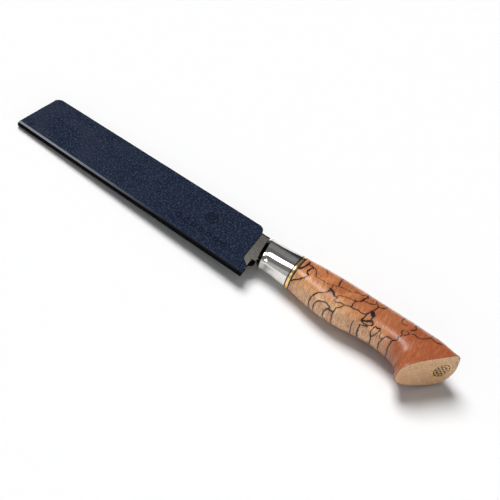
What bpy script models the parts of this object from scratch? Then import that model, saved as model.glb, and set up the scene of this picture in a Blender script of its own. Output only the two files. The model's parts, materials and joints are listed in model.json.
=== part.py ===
"""A bolstered kitchen knife lying on its side in its folded blade guard.

The knife is modelled in its own frame, in metres: X runs along the tang towards the butt, with X = 0 near the
bolster's front, Y points to the spine and Z up off the blade's flat. One empty then lays the whole knife on
the ground, so that it touches with the guard's tip and under the spacers.
"""
from math import atan2, cos, degrees, pi, radians, sin, tan

import bmesh
import bpy
from mathutils import Matrix, Vector

MM = 0.001

# ---- driving dimensions -------------------------------------------------------------------------------
GLUE_GAP = 0.05 * MM            # between pieces that are glued or pressed together

BLADE_HALF = 1.1 * MM           # half the blade's thickness at the ricasso
HEEL_X = -4.8 * MM
POINT_X = -181.0 * MM
SPINE_Y = 13.3 * MM
EDGE_HALF = 0.12 * MM
CHOIL_Y = -16.0 * MM            # where the heel's end turns into the choil
CHOIL_RISE = 3.8 * MM
CHOIL_LENGTH = 3.0 * MM
EDGE_PLAY = 1.7 * MM            # between the heel's edge and the fold
TIP_RISE = 16.5 * MM            # the edge curves up this much to the point
SPINE_DROP = 17.55 * MM         # the spine would fall this much, if it ran on past the point
SPINE_EASE = 1.3 * MM           # height of the rounding along the spine
BEVEL_HEIGHT = 13.5 * MM        # the bevels' top edge lies this far below the tang's axis
POINT_TAPER = 0.45              # share of the thickness lost towards the point
PLUNGE = (-30.0 * MM, -12.0 * MM)       # the bevels grow up the blade between these two stations
SHOULDER_X = -3.4 * MM          # the bolster's front on the tang's axis
SHOULDER_SLANT = 0.145          # how far the bolster's front leans forward per unit of height

FOLD_HEEL = Vector((-3.6, -27.0)) * MM  # the guard's folded side, outside, at the heel
FOLD_TIP = Vector((-189.0, -19.9)) * MM
GUARD_SPINE_X = (-182.0 * MM, -11.5 * MM)     # the open side's two ends
GUARD_SPINE_Y = 16.5 * MM
GUARD_CORNER = 5.0 * MM
TAB_STEP = (-14.0 * MM, -19.0 * MM)     # the tab over the heel starts and ends its slope at these heights
LEAF = 0.9 * MM
FELT = 0.35 * MM
FELT_PLAY = 0.05 * MM           # between the felt and the blade
FELT_SETBACK = 0.9 * MM         # from the fold's inside to the felt's edge
FOLD_RADIUS = 1.7 * MM
TAB_DRAFT = 0.6 * MM            # the tab's end leans in by this much
TAB_STEP_OUT = 1.4 * MM         # the step's upper end lies this far beyond the open side's end
OVERSHOOT = 20.0 * MM           # cutters and blanks reach this far past what they trim

BOLSTER_END = 22.0 * MM
BOLSTER_BEVEL = 2.4 * MM
# half of the bolster's front section, from the spine down its side: height and half thickness in millimetres
BOLSTER_FRONT = ((12.2, 0.0), (12.2, 2.4), (6.6, 7.0), (0.9, 7.5), (-5.0, 6.7), (-8.7, 4.6), (-9.6, 3.0),
                 (-9.6, 0.0))
BOLSTER_PARTS = (2, 6, 3, 3, 3, 1, 2)      # points along each of its sides
BOLSTER_NOSE = 0.78             # size of the front face inside the bevel
CHIN = 1.4 * MM                 # the bolster's front reaches this much lower, to meet the choil
RING_HALF = Vector((12.4, 10.8)) * MM   # half height and half thickness at the spacers
LINER = 0.8 * MM
BRASS = 1.9 * MM

BUTT_X = 139.9 * MM             # the butt's face on the tang's axis
BUTT_SLANT = radians(38)
TANG_DROP = -3.9 * MM           # the tang's end lies this far below its start
TANG_HALF_HEIGHT = 3.5 * MM
TANG_PLATE_END = 70.0 * MM
TANG_ROD_RADIUS = 2.5 * MM
NUT_POCKET_RADIUS = 6.0 * MM
NUT_POCKET_DEPTH = 14.0 * MM
TANG_LAP = 6.0 * MM             # the tang's parts run into each other by this much
TANG_PLATE_SHARE = 0.9          # thickness of the tang's plate, as a share of the ricasso's
TANG_END_PLAY = 2.5 * MM        # between the tang's end and the medallion
WASHER = Vector((5.4, 1.2)) * MM        # radius and thickness
NUT = Vector((4.6, 4.0)) * MM           # radius to the corners and height

MEDALLION_RADIUS = 6.9 * MM
MEDALLION_WALL = 0.7 * MM
MEDALLION_DEPTH = 4.0 * MM
MEDALLION_FLOOR = 1.0 * MM      # resin under the rods
ROD_RADIUS = 0.85 * MM
ROD_PITCH = 2.35 * MM

LOOP = 40                       # points around the handle and the bolster

# The handle's stations along the tang: distance, top, bottom, half thickness, height of the widest line, and
# slant of the section, all but the slant in millimetres.
HANDLE_STATIONS = (
    (25.65, 12.4, -12.4, 10.8, 0.0, 0.0),
    (38.0, 13.4, -15.0, 11.2, 0.0, 0.0),
    (52.0, 14.0, -17.3, 11.5, 0.0, 0.0),
    (66.0, 14.1, -17.2, 11.5, 0.0, 0.0),
    (80.0, 14.1, -15.2, 11.3, 0.0, 0.0),
    (94.0, 14.0, -15.0, 11.4, -0.5, 0.05),
    (108.0, 13.8, -16.8, 11.9, -1.5, 0.2),
    (120.0, 12.4, -20.6, 12.6, -2.5, 0.42),
    (131.0, 7.7, -26.0, 13.7, -3.5, 0.65),
    (139.9, 4.9, -30.5, 14.6, -4.6, tan(BUTT_SLANT)),
)
# How full the section's four quarters are: at the ring they are alike, and towards the butt the side that lies up
# gets fuller and the other rounder. Upper side above and below the widest line, then the same on the other side.
RING_FULLNESS = (2.3, 2.3, 2.3, 2.3)
BUTT_FULLNESS = (4.6, 4.0, 1.85, 1.8)
HOOK = (114, 140)                # the fullness changes between these distances, in millimetres


# ---- tools --------------------------------------------------------------------------------------------
def clear_scene():
    for item in list(bpy.data.objects):
        bpy.data.objects.remove(item, do_unlink=True)


def collection(name):
    group = bpy.data.collections.new(name)
    bpy.context.scene.collection.children.link(group)
    return group


def material(name, color, roughness, metallic=0.0):
    surface = bpy.data.materials.new(name)
    surface.use_nodes = True
    shader = surface.node_tree.nodes["Principled BSDF"]
    shader.inputs["Base Color"].default_value = (*color, 1.0)
    shader.inputs["Roughness"].default_value = roughness
    shader.inputs["Metallic"].default_value = metallic
    return surface


def mesh_object(name, mesh, group, surface=None):
    item = bpy.data.objects.new(name, mesh)
    group.objects.link(item)
    if surface:
        mesh.materials.append(surface)
    return item


def loft(name, loops, group, surface=None):
    """A closed solid through loops of equally many points; the two ends are capped."""
    bm = bmesh.new()
    rings = [[bm.verts.new(point) for point in loop] for loop in loops]
    count = len(rings[0])
    for low, high in zip(rings, rings[1:]):
        for i in range(count):
            j = (i + 1) % count
            bm.faces.new((low[i], low[j], high[j], high[i]))
    bm.faces.new(rings[0][::-1])
    bm.faces.new(rings[-1])
    bmesh.ops.recalc_face_normals(bm, faces=bm.faces)
    mesh = bpy.data.meshes.new(name)
    bm.to_mesh(mesh)
    bm.free()
    mesh.shade_smooth()
    mesh.set_sharp_from_angle(angle=radians(35))
    return mesh_object(name, mesh, group, surface)


def prism(name, outline, low, high, group, surface=None):
    """A flat outline in XY, between two heights."""
    bottom = [Vector((x, y, low)) for x, y in outline]
    top = [Vector((x, y, high)) for x, y in outline]
    return loft(name, [bottom, top], group, surface)


def cylinder(name, radius, start, end, group, surface=None, segments=24):
    axis = end - start
    bm = bmesh.new()
    bmesh.ops.create_cone(bm, cap_ends=True, segments=segments, radius1=radius, radius2=radius,
                          depth=axis.length)
    turn = axis.to_track_quat("Z", "Y").to_matrix().to_4x4()
    bmesh.ops.transform(bm, matrix=Matrix.Translation((start + end) / 2) @ turn, verts=bm.verts)
    mesh = bpy.data.meshes.new(name)
    bm.to_mesh(mesh)
    bm.free()
    mesh.shade_smooth()
    mesh.set_sharp_from_angle(angle=radians(40))
    return mesh_object(name, mesh, group, surface)


def boolean(target, cutter, operation="DIFFERENCE"):
    modifier = target.modifiers.new(operation.lower() + "_" + cutter.name, "BOOLEAN")
    modifier.operation = operation
    modifier.object = cutter
    cutter.hide_render = True
    cutter.display_type = "WIRE"
    return target


def arc(center, radius, start, end, steps):
    """Points of an arc, angles in degrees."""
    angles = [radians(start + (end - start) * i / steps) for i in range(steps + 1)]
    return [center + radius * Vector((cos(a), sin(a))) for a in angles]


def blend(stations, distance):
    """Values at a distance along stations whose first entry is the distance (Catmull-Rom)."""
    last = len(stations) - 2
    k = max(i for i in range(last + 1) if i == 0 or stations[i][0] <= distance)
    p0, p1, p2, p3 = (stations[min(max(i, 0), last + 1)] for i in (k - 1, k, k + 1, k + 2))
    t = (distance - p1[0]) / (p2[0] - p1[0])
    values = []
    for a, b, c, d in zip(p0[1:], p1[1:], p2[1:], p3[1:]):
        values.append(0.5 * (2 * b + (c - a) * t + (2 * a - 5 * b + 4 * c - d) * t ** 2
                             + (3 * b - a - 3 * c + d) * t ** 3))
    return values


def smooth(low, high, value):
    t = min(max((value - low) / (high - low), 0.0), 1.0)
    return t * t * (3 - 2 * t)


# ---- tang line and the butt's face ----------------------------------------------------------------------
TANG_START = Vector((SHOULDER_X, 0.0, 0.0))
TANG_END = Vector((BUTT_X, TANG_DROP, 0.0))
TANG_DIRECTION = (TANG_END - TANG_START).normalized()
BUTT_NORMAL = Vector((cos(BUTT_SLANT), -sin(BUTT_SLANT), 0.0))
BUTT_UP = Vector((sin(BUTT_SLANT), cos(BUTT_SLANT), 0.0))


# ---- blade ------------------------------------------------------------------------------------------------
def fold_inside(x):
    """Height of the guard's folded side, inside, at a station of the blade."""
    share = (x - FOLD_HEEL.x) / (FOLD_TIP.x - FOLD_HEEL.x)
    return FOLD_HEEL.y + (FOLD_TIP.y - FOLD_HEEL.y) * share + LEAF


def blade_section(x):
    """Eight points around the blade at one station, from the spine down one side and up the other."""
    share = min(max((HEEL_X - x) / (HEEL_X - POINT_X), 0.0), 1.0)
    edge = fold_inside(x) + EDGE_PLAY + TIP_RISE * share ** 3.2
    spine = SPINE_Y - SPINE_DROP * smooth(0.55, 1.25, share)
    half = BLADE_HALF * (1.0 - POINT_TAPER * share)
    shoulder = spine - SPINE_EASE
    highest = shoulder - 0.5 * MM
    bevel_top = highest - (highest + BEVEL_HEIGHT) * smooth(*PLUNGE, x)
    if x > HEEL_X:
        edge = CHOIL_Y + CHOIL_RISE * smooth(HEEL_X, HEEL_X + CHOIL_LENGTH, x)
        bevel_top = edge + 0.5 * MM
    tip = share > 0.999
    if tip:
        middle = (edge + spine) / 2
        spine, shoulder, bevel_top, edge = (middle + d * MM for d in (0.4, 0.2, -0.1, -0.3))
    bevel_top = min(max(bevel_top, edge + 0.2 * MM), shoulder - 0.1 * MM)
    edge_half = BLADE_HALF * 0.8 if x > HEEL_X else EDGE_HALF
    right = [(spine, half * 0.4), (shoulder, half), (bevel_top, half), (edge, edge_half)]
    if tip:
        right = [(y, EDGE_HALF) for y, z in right]
    left = [(y, -z) for y, z in reversed(right)]
    return [Vector((x, y, z)) for y, z in right + left]


def blade(group, cutters, surface):
    """Blade, ricasso, plate tang and threaded tang end, in one forging."""
    stations = [POINT_X + (HEEL_X - POINT_X) * i / 26 for i in range(27)]
    stations += [HEEL_X + d * MM for d in (0.01, 0.6, 1.3, 2.2, 3.2, 5.0)]
    body = loft("blade", [blade_section(x) for x in stations], group, surface)
    lean = SHOULDER_SLANT
    high = 2 * OVERSHOOT
    cut = prism("shoulder_cut", [(SHOULDER_X - GLUE_GAP - lean * high, high),
                                 (SHOULDER_X - GLUE_GAP + lean * high, -high),
                                 (high, -high), (high, high)], -high, high, cutters)
    boolean(body, cut)
    plate_end = TANG_START + TANG_DIRECTION * TANG_PLATE_END
    up = Vector((-TANG_DIRECTION.y, TANG_DIRECTION.x, 0.0)) * TANG_HALF_HEIGHT
    back = TANG_START - TANG_DIRECTION * TANG_LAP
    plate = prism("tang_plate", [(p.x, p.y) for p in (back - up, plate_end - up, plate_end + up, back + up)],
                  -BLADE_HALF * TANG_PLATE_SHARE, BLADE_HALF * TANG_PLATE_SHARE, cutters)
    boolean(body, plate, "UNION")
    rod = cylinder("tang_rod", TANG_ROD_RADIUS, plate_end - TANG_DIRECTION * TANG_LAP,
                   TANG_END - TANG_DIRECTION * (2 * MEDALLION_DEPTH + TANG_END_PLAY), cutters, segments=16)
    boolean(body, rod, "UNION")
    return body


# ---- guard --------------------------------------------------------------------------------------------------
FELT_Z = (BLADE_HALF + FELT_PLAY, BLADE_HALF + FELT_PLAY + FELT)
LEAF_Z = (FELT_Z[1] + GLUE_GAP, FELT_Z[1] + GLUE_GAP + LEAF)


def guard_outline():
    """Plan view of the folded guard, from the folded side's tip, against the clock."""
    tip_high = Vector((GUARD_SPINE_X[0], GUARD_SPINE_Y))
    heel_high = Vector((GUARD_SPINE_X[1], GUARD_SPINE_Y))
    across = tip_high - FOLD_TIP
    lean = degrees(atan2(across.x, across.y))
    r = GUARD_CORNER
    points = [FOLD_TIP, FOLD_HEEL, Vector((FOLD_HEEL.x - TAB_DRAFT, TAB_STEP[1])),
              Vector((heel_high.x + TAB_STEP_OUT, TAB_STEP[0]))]
    points += arc(heel_high + Vector((-r, -r)), r, 0, 90, 6)
    points += arc(tip_high + Vector((r, -r)), r, 90, 180 - lean, 6)
    return points


def guard_prism(name, cutters):
    return prism(name, guard_outline(), -OVERSHOOT, OVERSHOOT, cutters)


FOLD = FOLD_HEEL - FOLD_TIP
BLANK_X = (-OVERSHOOT, FOLD.length + OVERSHOOT)         # the untrimmed sheet's ends, along the fold
BLANK_WIDTH = 60 * MM


def guard_frame():
    """From a frame whose X runs along the folded side to the knife's frame."""
    return Matrix.Translation((*FOLD_TIP, 0.0)) @ Matrix.Rotation(atan2(FOLD.y, FOLD.x), 4, "Z")


def fold_profile(outer, corner, steps=4):
    """The fold's rounded end in YZ, from the upper leaf's face round to the lower leaf's."""
    offset = LEAF_Z[1] - outer
    high = [Vector((offset, 0.0)) + p for p in arc(Vector((corner, outer - corner)), corner, 90, 180, steps)]
    low = [Vector((p.x, -p.y)) for p in reversed(high)]
    return high + low


def guard_shell(group, cutters, surface):
    """One sheet folded double: a U-shaped bar along the fold, trimmed to the plan view."""
    outside = fold_profile(LEAF_Z[1], FOLD_RADIUS)
    inside = fold_profile(LEAF_Z[0], FOLD_RADIUS - LEAF)
    loop = [Vector((BLANK_WIDTH, LEAF_Z[1]))] + outside + [Vector((BLANK_WIDTH, -LEAF_Z[1]))]
    loop += [Vector((BLANK_WIDTH, -LEAF_Z[0]))] + inside[::-1] + [Vector((BLANK_WIDTH, LEAF_Z[0]))]
    frame = guard_frame()
    ends = [[frame @ Vector((x, p.x, p.y)) for p in loop] for x in BLANK_X]
    shell = loft("guard_shell", ends, group, surface)
    return boolean(shell, guard_prism("guard_trim", cutters), "INTERSECT")


def guard_felt(name, side, group, cutters, surface):
    """The felt inside one leaf, stopping short of the fold."""
    frame = guard_frame()
    low, high = sorted((side * FELT_Z[0], side * FELT_Z[1]))
    start = LEAF + FELT_SETBACK
    corners = [frame @ Vector((x, y, 0.0)) for x, y in ((BLANK_X[0], start), (BLANK_X[1], start),
                                                        (BLANK_X[1], BLANK_WIDTH), (BLANK_X[0], BLANK_WIDTH))]
    felt = prism(name, [(p.x, p.y) for p in corners], low, high, group, surface)
    return boolean(felt, guard_prism(name + "_trim", cutters), "INTERSECT")


# ---- bolster and spacers --------------------------------------------------------------------------------------
def ring_loop(half):
    """The handle's rounded section at the spacers, in YZ."""
    return egg(half.x, -half.x, half.y, 0.0, RING_FULLNESS)


def egg(top, bottom, half, widest, fullness):
    """A rounded section: four quarter ovals that meet at its widest line and at its top and bottom."""
    points = []
    for i in range(LOOP):
        angle = 2 * pi * i / LOOP
        c, s = cos(angle), sin(angle)
        power = fullness[(0 if s >= 0 else 2) + (0 if c >= 0 else 1)]
        reach = top - widest if c >= 0 else widest - bottom
        y = widest + reach * (1 if c >= 0 else -1) * abs(c) ** (2 / power)
        z = half * (1 if s >= 0 else -1) * abs(s) ** (2 / power)
        points.append(Vector((y, z)))
    return points


def facet_loop():
    """The bolster's faceted front section in YZ, with as many points as the rounded one."""
    corners = [Vector(p) * MM for p in BOLSTER_FRONT]
    corners += [Vector((p.x, -p.y)) for p in corners[-2:0:-1]]
    points = []
    for k, count in enumerate(BOLSTER_PARTS + BOLSTER_PARTS[::-1]):
        a, b = corners[k], corners[(k + 1) % len(corners)]
        points += [a + (b - a) * i / count for i in range(count)]
    return points


def bolster(group, cutters, surface):
    """A flared block with facets that run out into the handle's round section."""
    front = facet_loop()
    back = ring_loop(RING_HALF)
    loops = []
    for step in range(9):
        share = max(0.0, (step - 1) / 7)
        x = SHOULDER_X + (BOLSTER_END - GLUE_GAP - SHOULDER_X) * share
        if step == 1:
            x += BOLSTER_BEVEL
        scale = BOLSTER_NOSE if step == 0 else 1.0
        flare = share ** 1.15
        ring = []
        for a, b in zip(front, back):
            p = a * scale * (1 - flare) + b * flare
            if p.x < 0:
                p.x -= CHIN * (p.x / front[LOOP // 2].x) * (1 - smooth(0.0, 0.3, share))
            lean = -SHOULDER_SLANT * p.x * (1 - share)
            ring.append(Vector((x + lean, p.x, p.y)))
        loops.append(ring)
    block = loft("bolster", loops, group, surface)
    return boolean(block, tang_cutter("bolster_slot", cutters))


def tang_cutter(name, cutters):
    """A slot for the plate tang, through the bolster and the spacers."""
    start = TANG_START - TANG_DIRECTION * 8 * MM
    end = TANG_START + TANG_DIRECTION * (TANG_PLATE_END + 0.4 * MM)
    up = Vector((-TANG_DIRECTION.y, TANG_DIRECTION.x, 0.0)) * (TANG_HALF_HEIGHT + GLUE_GAP)
    half = BLADE_HALF * TANG_PLATE_SHARE + GLUE_GAP
    return prism(name, [(p.x, p.y) for p in (start - up, end - up, end + up, start + up)], -half, half, cutters)


def spacer(name, start, thickness, group, cutters, surface):
    loop = ring_loop(RING_HALF)
    ends = [[Vector((x, p.x, p.y)) for p in loop] for x in (start, start + thickness - GLUE_GAP)]
    plate = loft(name, ends, group, surface)
    return boolean(plate, tang_cutter(name + "_slot", cutters))


# ---- handle -----------------------------------------------------------------------------------------------------
def handle_section(distance):
    top, bottom, half, widest, slant = blend(HANDLE_STATIONS, distance)
    share = smooth(*HOOK, distance)
    fullness = [a + (b - a) * share for a, b in zip(RING_FULLNESS, BUTT_FULLNESS)]
    loop = egg(top * MM, bottom * MM, half * MM, widest * MM, fullness)
    return [Vector((distance * MM + (p.x - TANG_DROP) * slant, p.x, p.y)) for p in loop]


def handle_block(group, cutters, surface):
    """The wooden handle, bored for the tang, the nut and the medallion."""
    first, last = HANDLE_STATIONS[0][0], HANDLE_STATIONS[-1][0]
    loops = [handle_section(first + (last - first) * i / 30) for i in range(31)]
    block = loft("handle_block", loops, group, surface)
    boolean(block, tang_cutter("handle_slot", cutters))
    end = TANG_END
    bore = cylinder("tang_bore", TANG_ROD_RADIUS + 0.1 * MM, TANG_START + TANG_DIRECTION * TANG_PLATE_END * 0.9,
                    end, cutters, segments=16)
    boolean(block, bore)
    pocket_start = end - TANG_DIRECTION * (MEDALLION_DEPTH + NUT_POCKET_DEPTH)
    pocket = cylinder("nut_pocket", NUT_POCKET_RADIUS, pocket_start, end, cutters)
    boolean(block, pocket)
    seat = cylinder("medallion_seat", MEDALLION_RADIUS + GLUE_GAP,
                    end - BUTT_NORMAL * (MEDALLION_DEPTH + GLUE_GAP), end + BUTT_NORMAL * 5 * MM, cutters,
                    segments=32)
    boolean(block, seat)
    return block


# ---- tang fastening ------------------------------------------------------------------------------------------------
def ring_solid(name, outer, inner, start, end, group, cutters, surface, segments=32):
    tube = cylinder(name, outer, start, end, group, surface, segments)
    overshoot = (end - start).normalized() * MM
    return boolean(tube, cylinder(name + "_hole", inner, start - overshoot, end + overshoot, cutters,
                                  segments=16))


def tang_fastening(group, cutters, steel):
    seat = TANG_END - TANG_DIRECTION * (MEDALLION_DEPTH + NUT_POCKET_DEPTH - GLUE_GAP)
    washer_end = seat + TANG_DIRECTION * WASHER.y
    nut_start = washer_end + TANG_DIRECTION * GLUE_GAP
    nut_end = nut_start + TANG_DIRECTION * NUT.y
    hole = TANG_ROD_RADIUS + GLUE_GAP * 2
    ring_solid("tang_washer", WASHER.x, hole, seat, washer_end, group, cutters, steel, 24)
    ring_solid("tang_nut", NUT.x, hole, nut_start, nut_end, group, cutters, steel, 6)


# ---- medallion ---------------------------------------------------------------------------------------------------------
def rod_places():
    """Places of the mosaic's rods in the butt's face: one, six and twelve."""
    places = [Vector((0.0, 0.0))]
    for ring, count in ((1, 6), (2, 12)):
        for i in range(count):
            angle = 2 * pi * i / count
            places.append(Vector((cos(angle), sin(angle))) * ring * ROD_PITCH)
    return places


def medallion(group, cutters, brass, resin):
    back = TANG_END - BUTT_NORMAL * MEDALLION_DEPTH
    inner = MEDALLION_RADIUS - MEDALLION_WALL
    tube = cylinder("medallion_tube", MEDALLION_RADIUS, back, TANG_END, group, brass, 32)
    boolean(tube, cylinder("tube_bore", inner, back - BUTT_NORMAL * MM, TANG_END + BUTT_NORMAL * MM, cutters,
                           segments=32))
    filler = cylinder("medallion_resin", inner - GLUE_GAP, back, TANG_END - BUTT_NORMAL * 0.02 * MM, group,
                      resin, 32)
    floor = back + BUTT_NORMAL * MEDALLION_FLOOR
    for number, place in enumerate(rod_places(), 1):
        offset = BUTT_UP * place.x + Vector((0.0, 0.0, place.y))
        pocket = cylinder(f"rod_pocket_{number:02d}", ROD_RADIUS + GLUE_GAP, floor + offset,
                          TANG_END + offset + BUTT_NORMAL * MM, cutters, segments=10)
        boolean(filler, pocket)
        cylinder(f"medallion_rod_{number:02d}", ROD_RADIUS, floor + offset + BUTT_NORMAL * GLUE_GAP,
                 TANG_END + offset, group, brass, 10)


# ---- the knife at rest ----------------------------------------------------------------------------------------------------
def lay_down(group):
    """Parent every piece to one empty, tilted and raised so that the knife lies on the ground."""
    rest = bpy.data.objects.new("knife_frame", None)
    bpy.context.scene.collection.objects.link(rest)
    low_tip = -LEAF_Z[1]
    butt = handle_section(HANDLE_STATIONS[-1][0])
    under = [Vector((BOLSTER_END, 0.0, -RING_HALF.y)), Vector((HANDLE_STATIONS[0][0] * MM, 0.0, -RING_HALF.y))]
    under += [min(handle_section(d), key=lambda p: p.z) for d in range(26, 140, 6)] + butt
    tilt = max(atan2(low_tip - p.z, p.x - FOLD_TIP.x) for p in under)
    turn = Matrix.Rotation(-tilt, 4, "Y")
    ends = [turn @ p for p in butt] + [turn @ Vector((FOLD_TIP.x, GUARD_SPINE_Y, z)) for z in LEAF_Z + (low_tip,)]
    middle = [(min(p[i] for p in ends) + max(p[i] for p in ends)) / 2 for i in (0, 1)]
    ground = (turn @ Vector((FOLD_TIP.x, 0.0, low_tip))).z
    rest.matrix_world = Matrix.Translation((-middle[0], -middle[1], -ground)) @ turn
    return rest


def build():
    clear_scene()
    group = collection("guarded_knife")
    cutters = collection("cutters")
    steel = material("blade_steel", (0.55, 0.53, 0.50), 0.22, 1.0)
    mirror = material("bolster_steel", (0.80, 0.80, 0.80), 0.05, 1.0)
    brass = material("brass", (0.78, 0.55, 0.26), 0.25, 1.0)
    black = material("black_liner", (0.02, 0.02, 0.02), 0.4)
    wood = material("spalted_wood", (0.62, 0.34, 0.17), 0.25)
    sheet = material("flecked_sheet", (0.03, 0.05, 0.10), 0.55)
    felt = material("black_felt", (0.015, 0.015, 0.017), 0.95)
    resin = material("mosaic_resin", (0.16, 0.06, 0.03), 0.3)

    blade(group, cutters, steel)
    guard_shell(group, cutters, sheet)
    guard_felt("guard_felt_top", 1, group, cutters, felt)
    guard_felt("guard_felt_bottom", -1, group, cutters, felt)
    bolster(group, cutters, mirror)
    x = BOLSTER_END
    for name, thickness, surface in (("spacer_black_front", LINER, black), ("spacer_brass", BRASS, brass),
                                     ("spacer_black_rear", LINER, black)):
        spacer(name, x, thickness, group, cutters, surface)
        x += thickness
    handle_block(group, cutters, wood)
    tang_fastening(group, cutters, steel)
    medallion(group, cutters, brass, resin)
    rest = lay_down(group)
    for item in list(group.objects) + list(cutters.objects):
        item.parent = rest


build()
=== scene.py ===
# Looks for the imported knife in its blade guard: finer meshes, materials, floor, light and camera.
# New pieces are modelled in the knife's own frame: X runs along the tang to the butt, Y to the spine and
# Z up off the blade's flat. One matrix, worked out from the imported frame, lays them down.

import json
from math import atan2, cos, degrees, pi, radians, sin, tan

import bmesh
import bpy
from mathutils import Matrix, Vector, kdtree, noise

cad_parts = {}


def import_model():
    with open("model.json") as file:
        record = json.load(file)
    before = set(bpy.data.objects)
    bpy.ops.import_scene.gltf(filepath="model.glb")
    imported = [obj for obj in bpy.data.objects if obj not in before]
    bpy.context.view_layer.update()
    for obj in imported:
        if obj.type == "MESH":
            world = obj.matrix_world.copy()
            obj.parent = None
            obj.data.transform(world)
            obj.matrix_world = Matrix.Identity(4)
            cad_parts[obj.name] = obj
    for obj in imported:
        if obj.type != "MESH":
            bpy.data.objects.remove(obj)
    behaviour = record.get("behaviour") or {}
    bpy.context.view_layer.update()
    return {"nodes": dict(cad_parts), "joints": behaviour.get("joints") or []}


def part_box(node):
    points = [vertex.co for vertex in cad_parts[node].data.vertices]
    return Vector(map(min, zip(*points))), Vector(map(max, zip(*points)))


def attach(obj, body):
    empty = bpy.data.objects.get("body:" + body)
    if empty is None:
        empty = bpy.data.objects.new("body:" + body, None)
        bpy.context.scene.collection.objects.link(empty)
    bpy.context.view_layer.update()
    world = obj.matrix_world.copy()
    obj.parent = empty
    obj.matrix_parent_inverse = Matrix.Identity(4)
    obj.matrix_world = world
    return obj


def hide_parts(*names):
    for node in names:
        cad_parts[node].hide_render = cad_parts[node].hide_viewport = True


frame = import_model()

MM = 0.001
GLUE_GAP = 0.05 * MM

# ---- sizes, as in the CAD -----------------------------------------------------------------------------
BLADE_HALF = 1.1 * MM
HEEL_X = -4.8 * MM
POINT_X = -181.0 * MM
SPINE_Y = 13.3 * MM
EDGE_HALF = 0.12 * MM
CHOIL_Y = -16.0 * MM
CHOIL_RISE = 3.8 * MM
CHOIL_LENGTH = 3.0 * MM
EDGE_PLAY = 1.7 * MM            # between the heel's edge and the fold
TIP_RISE = 16.5 * MM            # the edge curves up this much to the point
SPINE_DROP = 17.55 * MM         # the spine would fall this much, if it ran on past the point
SPINE_EASE = 1.3 * MM           # height of the rounding along the spine
BEVEL_HEIGHT = 13.5 * MM        # the bevels' top edge lies this far below the tang's axis
POINT_TAPER = 0.45              # share of the thickness lost towards the point
PLUNGE = (-30.0 * MM, -12.0 * MM)       # the bevels grow up the blade between these two stations
SHOULDER_X = -3.4 * MM
SHOULDER_SLANT = 0.145

FOLD_HEEL = Vector((-3.6, -27.0)) * MM
FOLD_TIP = Vector((-189.0, -19.9)) * MM
FOLD = FOLD_HEEL - FOLD_TIP
GUARD_SPINE_X = (-182.0 * MM, -11.5 * MM)
GUARD_SPINE_Y = 16.5 * MM
GUARD_CORNER = 5.0 * MM
TAB_STEP = (-14.0 * MM, -19.0 * MM)
LEAF_Z = (1.55 * MM, 2.45 * MM)
LEAF = LEAF_Z[1] - LEAF_Z[0]
FOLD_RADIUS = 1.7 * MM
TAB_DRAFT = 0.6 * MM            # the tab's end leans in by this much
TAB_STEP_OUT = 1.4 * MM         # the step's upper end lies this far beyond the open side's end
SHEET_WIDTH = 60.0 * MM         # the untrimmed sheet's, from the fold
OVERSHOOT = 20.0 * MM           # the untrimmed sheet reaches this far past both ends

BOLSTER_END = 22.0 * MM
BOLSTER_BEVEL = 2.4 * MM
# half of the bolster's front section, from the spine down its side: height and half thickness in mm, and
# the share of its points on each of its sides
BOLSTER_FRONT = ((12.2, 0.0), (12.2, 2.4), (6.6, 7.0), (3.8, 7.35), (0.9, 7.5), (-2.1, 7.3), (-5.0, 6.7),
                 (-7.1, 5.8), (-8.7, 4.6), (-9.6, 3.0), (-9.6, 0.0))
BOLSTER_PARTS = (4, 12, 3, 3, 3, 3, 3, 3, 2, 4)
BOLSTER_NOSE = 0.78             # size of the front face inside the bevel
CHIN = 1.4 * MM                 # the bolster's front reaches this much lower, to meet the choil
RING_HALF = Vector((12.4, 10.8)) * MM
LINER = 0.8 * MM
BRASS = 1.9 * MM

BUTT_X = 139.9 * MM
BUTT_SLANT = radians(38)
TANG_DROP = -3.9 * MM
MEDALLION_RADIUS = 6.9 * MM
MEDALLION_DEPTH = 4.0 * MM
BUTT_CENTRE = Vector((BUTT_X, TANG_DROP, 0.0))
BUTT_NORMAL = Vector((cos(BUTT_SLANT), -sin(BUTT_SLANT), 0.0))
BUTT_UP = Vector((sin(BUTT_SLANT), cos(BUTT_SLANT), 0.0))

# distance, top, bottom, half thickness, height of the widest line, and slant, all but the slant in mm
HANDLE_STATIONS = (
    (25.65, 12.4, -12.4, 10.8, 0.0, 0.0),
    (38.0, 13.4, -15.0, 11.2, 0.0, 0.0),
    (52.0, 14.0, -17.3, 11.5, 0.0, 0.0),
    (66.0, 14.1, -17.2, 11.5, 0.0, 0.0),
    (80.0, 14.1, -15.2, 11.3, 0.0, 0.0),
    (94.0, 14.0, -15.0, 11.4, -0.5, 0.05),
    (108.0, 13.8, -16.8, 11.9, -1.5, 0.2),
    (120.0, 12.4, -20.6, 12.6, -2.5, 0.42),
    (131.0, 7.7, -26.0, 13.7, -3.5, 0.65),
    (139.9, 4.9, -30.5, 14.6, -4.6, tan(BUTT_SLANT)),
)
# how full the section's quarters are: upper side above and below the widest line, then the other side
RING_FULLNESS = (2.3, 2.3, 2.3, 2.3)
BUTT_FULLNESS = (4.6, 4.0, 1.85, 1.8)
HOOK = (114, 140)               # the fullness changes between these distances, in mm

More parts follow.
